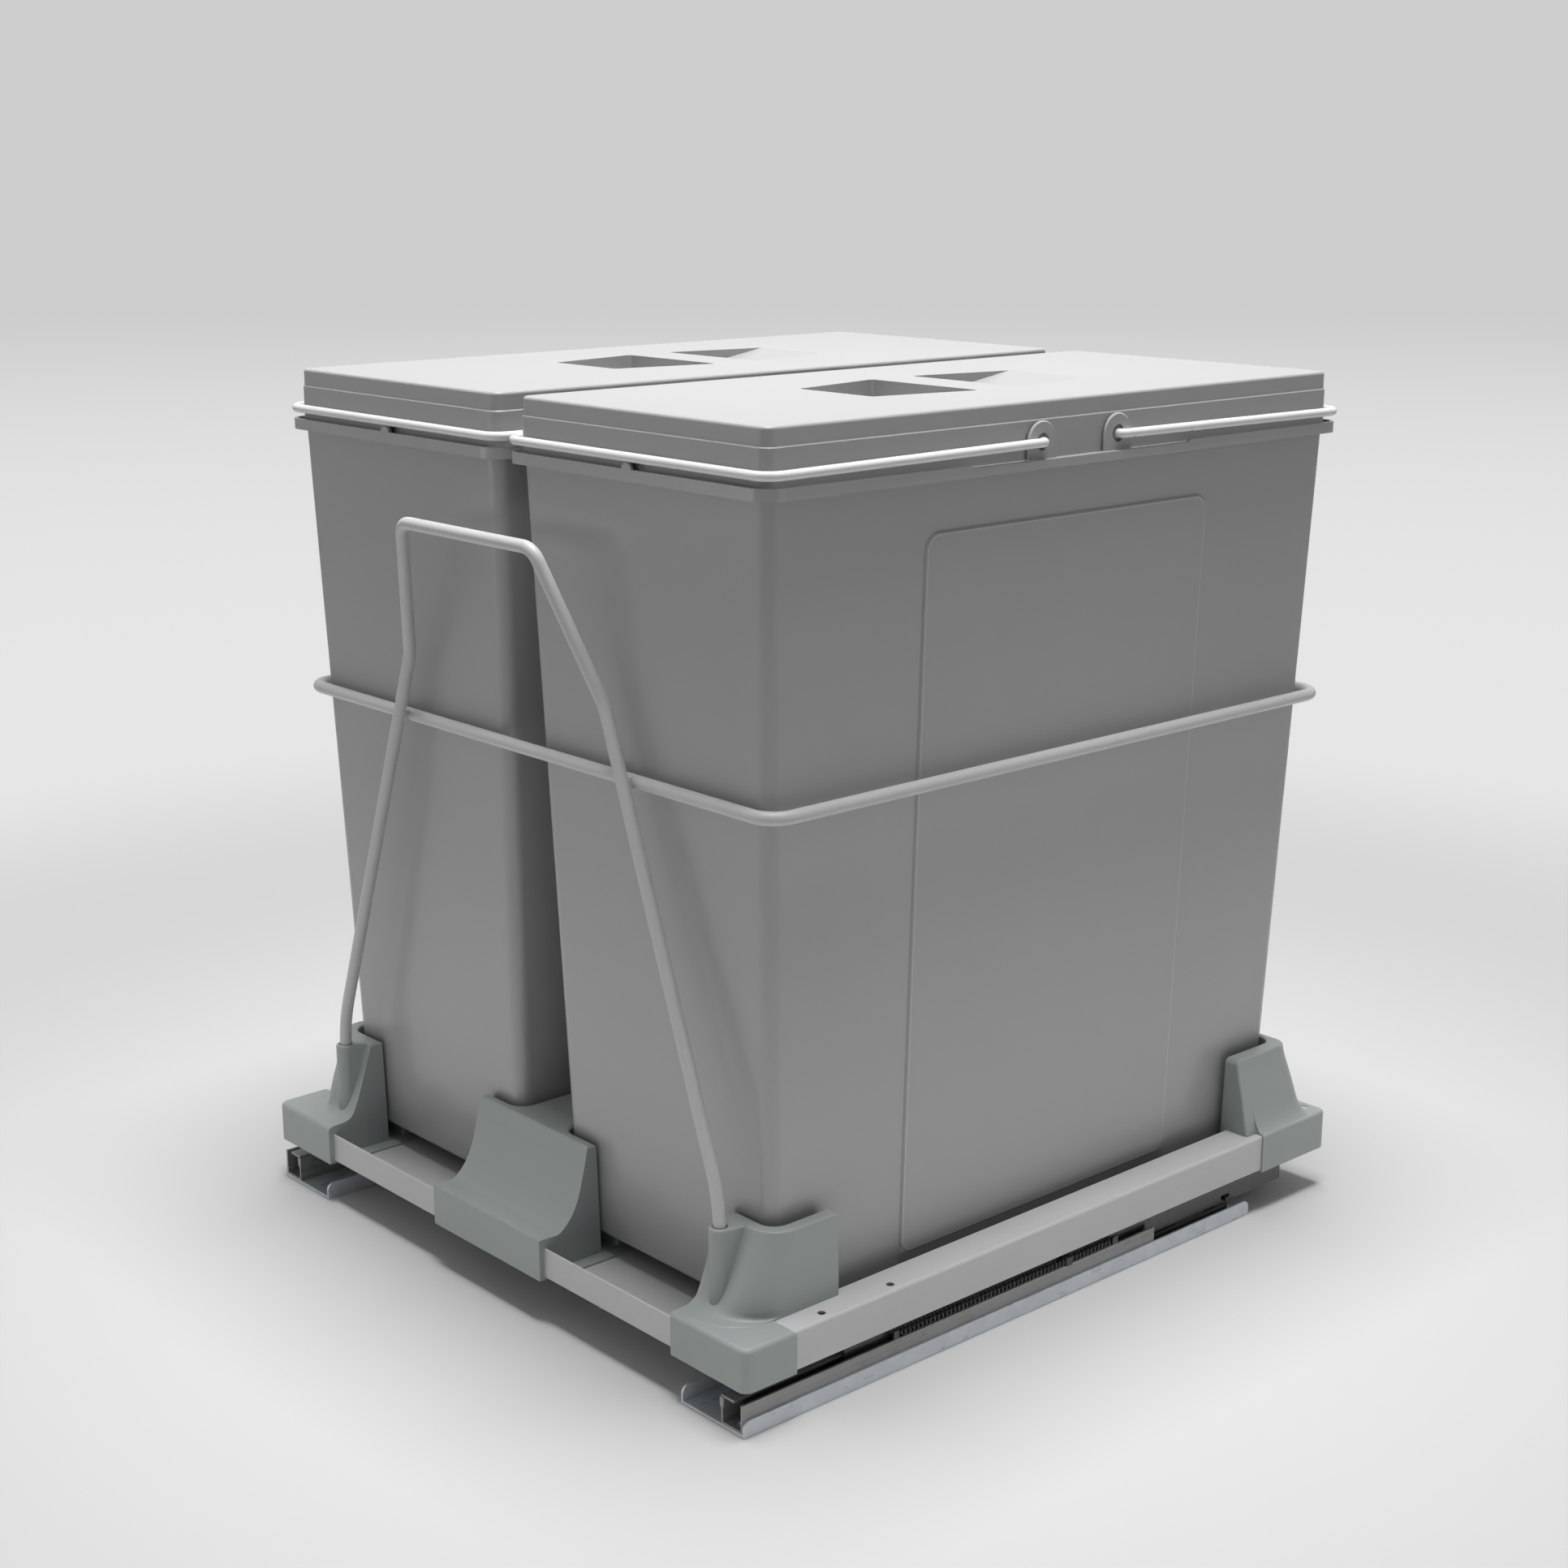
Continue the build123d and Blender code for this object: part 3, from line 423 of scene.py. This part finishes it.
def coil_tree(sizes):
    """A close-wound coil that runs back from each point of the carrier mesh."""
    graph, given = new_tree("extension_coil", sizes)
    spiral_sizes = {
        "Resolution": steps_per_turn,
        "Rotations": given["Turns"],
        "Start Radius": given["Radius"],
        "End Radius": given["Radius"],
        "Height": given["Length"],
    }
    spiral = graph.node("GeometryNodeCurveSpiral", None, spiral_sizes)["Curve"]
    round_section = {"Resolution": sides_of_wire, "Radius": given["Wire"]}
    section = graph.node("GeometryNodeCurvePrimitiveCircle", None, round_section)["Curve"]
    swept = {"Curve": spiral, "Profile Curve": section, "Fill Caps": True}
    tube = graph.node("GeometryNodeCurveToMesh", None, swept)["Mesh"]
    upright_to_lengthwise = (math.radians(-90), 0.0, 0.0)
    laying = {"Geometry": tube, "Rotation": upright_to_lengthwise}
    laid = graph.node("GeometryNodeTransform", None, laying)["Geometry"]
    spots = graph.node("GeometryNodeMeshToPoints", None, {"Mesh": given["Geometry"]})["Points"]
    placed = graph.node("GeometryNodeInstanceOnPoints", None, {"Points": spots, "Instance": laid})["Instances"]
    return close_tree(graph, placed, spring_finish)


def spots_mesh(name, spots):
    """A mesh of loose points."""
    mesh = bpy.data.meshes.new(name)
    mesh.from_pydata(spots, [], [])
    return mesh


coil_radius = 0.0016
coil_wire = 0.00045
coil_pitch = 0.0028
steps_per_turn = 20
sides_of_wire = 8
coil_end_gap = 0.0006
link_front, link_rear = 0.0035, 0.0085  # where the coils meet the link plate between them

spring_low, spring_high = (Vector(corner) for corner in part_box("closing_spring_right"))
spring_x = (spring_low.x + spring_high.x) / 2
spring_z = (spring_low.z + spring_high.z) / 2
coil = coil_tree({"Turns": 40.0, "Radius": coil_radius, "Wire": coil_wire, "Length": 0.1})
for side, side_name in ((-1, "left"), (1, "right")):
    for end_name, start, stop in (
        ("front", spring_low.y + coil_end_gap, link_front),
        ("rear", link_rear, spring_high.y - coil_end_gap),
    ):
        grown(
            "coil_" + end_name + "_" + side_name,
            spots_mesh("coil_spot", [(side * spring_x, start, spring_z)]),
            coil,
            {"Turns": (stop - start) / coil_pitch, "Length": stop - start},
            "root",
            ("closing_spring_" + side_name,) if end_name == "front" else (),
        )


# ------------------------------------------------------------------ camera, floor and light
def photo_camera():
    """A camera at the photograph's place, height and angle."""
    data = bpy.data.cameras.new("photo_camera")
    data.sensor_width = 36.0
    data.lens = 56.82
    data.clip_end = 50.0
    camera = bpy.data.objects.new("photo_camera", data)
    bpy.context.scene.collection.objects.link(camera)
    camera.location = (0.96353, -0.87293, 0.56945)
    downwards, turned = 14.583, 48.199
    camera.rotation_euler = (math.radians(90.0 - downwards), 0.0, math.radians(turned))
    bpy.context.scene.camera = camera


far_tone = grey(0.61)
near_tone = grey(0.79)
floor_half = 30.0
floor_drop = 0.0002
shadow_ground = (0.42, 1.15)  # radii between which the lit floor gives way to the plain tone
backdrop_fade = (1.2, 8.0)  # radii between which the near tone becomes the far tone


def studio_floor():
    """A wide pale floor that fades into the backdrop's tone far from the object."""
    mesh = bpy.data.meshes.new("floor")
    sheet = bmesh.new()
    bmesh.ops.create_grid(sheet, x_segments=4, y_segments=4, size=floor_half)
    sheet.to_mesh(mesh)
    sheet.free()
    floor = bpy.data.objects.new("floor", mesh)
    bpy.context.scene.collection.objects.link(floor)
    floor.location = (0.0, 0.0, -floor_drop)
    f = Finish("floor_pale", Roughness=0.7)
    seen = f.node("ShaderNodeLightPath")["Is Camera Ray"]
    cloud = f.noise(1.3)
    color = f.blend(seen, grey(0.70), f.blend(cloud, grey(0.52), grey(0.55)))
    f.finish(color, 0.7 + (f.noise(40.0) - 0.5) * 0.1)
    radius = (f.x * f.x + f.y * f.y) ** 0.5
    near = f.node("ShaderNodeEmission", None, {"Color": near_tone, "Strength": 1.0})[0]
    far = f.node("ShaderNodeEmission", None, {"Color": far_tone, "Strength": 1.0})[0]
    glow = f.node("ShaderNodeMixShader", None, {0: radius.between(*backdrop_fade), 1: near, 2: far})[0]
    fade = radius.between(*shadow_ground) * seen
    mixed = f.node("ShaderNodeMixShader", None, {0: fade, 1: Signal(f, f.shader.outputs[0]), 2: glow})[0]
    f.feed(f.tree.nodes["Material Output"].inputs["Surface"], mixed)
    mesh.materials.append(f.material)


def studio_world():
    """Even pale surroundings: what the camera sees is the backdrop's tone, the rest lights the object."""
    world = bpy.data.worlds.new("studio")
    world.use_nodes = True
    bpy.context.scene.world = world
    graph = Graph(world.node_tree)
    world.node_tree.nodes.clear()
    rays = graph.node("ShaderNodeLightPath")
    high = graph.node("ShaderNodeSeparateXYZ", None, {0: graph.node("ShaderNodeTexCoord")["Generated"]})["Z"]
    strength = high.between(0.0, 0.9, 0.03, 0.36) + rays["Is Glossy Ray"] * 0.9
    ambient = graph.node("ShaderNodeBackground", None, {"Color": grey(1.0), "Strength": strength})[0]
    backdrop = graph.node("ShaderNodeBackground", None, {"Color": far_tone, "Strength": 1.0})[0]
    mixed = graph.node("ShaderNodeMixShader", None, {0: rays["Is Camera Ray"], 1: ambient, 2: backdrop})[0]
    graph.node("ShaderNodeOutputWorld", None, {"Surface": mixed})


def softbox(name, where, size, power, spread=180.0):
    """A large soft area lamp aimed at the object's middle."""
    data = bpy.data.lights.new(name, "AREA")
    data.shape = "RECTANGLE"
    data.size, data.size_y = size
    data.energy = power
    data.spread = math.radians(spread)
    lamp = bpy.data.objects.new(name, data)
    bpy.context.scene.collection.objects.link(lamp)
    lamp.location = where
    object_middle = Vector((0.0, 0.0, 0.2))
    lamp.rotation_euler = (object_middle - Vector(where)).to_track_quat("-Z", "Y").to_euler()


photo_camera()
bpy.context.scene.view_settings.view_transform = "Standard"
studio_floor()
studio_world()
softbox("overhead", (0.1, 0.0, 2.2), (0.9, 0.9), 12.5, spread=75.0)
softbox("front_left", (-1.2, -2.2, 0.3), (1.4, 0.6), 4.0)
softbox("right", (2.3, 0.8, 0.3), (1.4, 0.6), 2.0)
